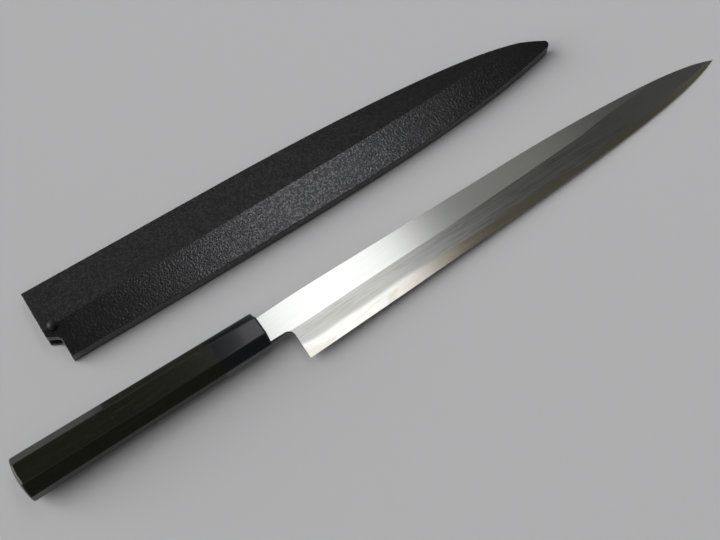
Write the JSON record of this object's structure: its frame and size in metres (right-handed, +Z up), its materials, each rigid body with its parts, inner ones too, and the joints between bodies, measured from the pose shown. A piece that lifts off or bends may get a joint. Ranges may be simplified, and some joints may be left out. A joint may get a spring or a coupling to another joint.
{
  "type": "yanagiba knife",
  "caption": "Long narrow single-bevel slicing knife with a laminated blade and octagonal horn-and-ebony handle, with its lacquered wooden saya cover and ball-headed peg laid beside it.",
  "frame": {"origin": "centre of the bottom face of the object's bounding box, on the table that it lies on", "axes": "+X from the handle's butt to the blade's tip, +Y from the knife to the saya, +Z up"},
  "size_m": [0.5023, 0.129, 0.0238],
  "materials": {
    "cladding_iron": "polished soft iron, satin bevel",
    "hard_steel": "polished hard steel",
    "black_horn": "polished black buffalo horn",
    "ebony": "oiled and polished ebony",
    "dowel_wood": "bare magnolia wood",
    "leaf_lacquer": "stone-textured black lacquer on magnolia wood",
    "strip_lacquer": "stone-textured black lacquer on magnolia wood",
    "peg_wood": "polished black wood"
  },
  "bodies": {
    "knife": {"blade_cladding": "cladding_iron", "blade_core_steel": "hard_steel", "ferrule": "black_horn", "handle_body": "ebony", "tang_dowel": "dowel_wood"},
    "saya": {"saya_front_leaf": "leaf_lacquer", "saya_back_leaf": "leaf_lacquer", "saya_spine_strip": "strip_lacquer", "saya_edge_strip": "strip_lacquer"},
    "peg": {"saya_peg": "peg_wood"}
  },
  "joints": [
    {"name": "saya_draw", "type": "slide", "parent": "knife", "child": "saya", "axis": [0.9996, -0.027, 0], "range_m": [0, 0.345]},
    {"name": "peg_pull", "type": "slide", "parent": "saya", "child": "peg", "axis": [0, 0, 1], "range_m": [0, 0.02]}
  ]
}
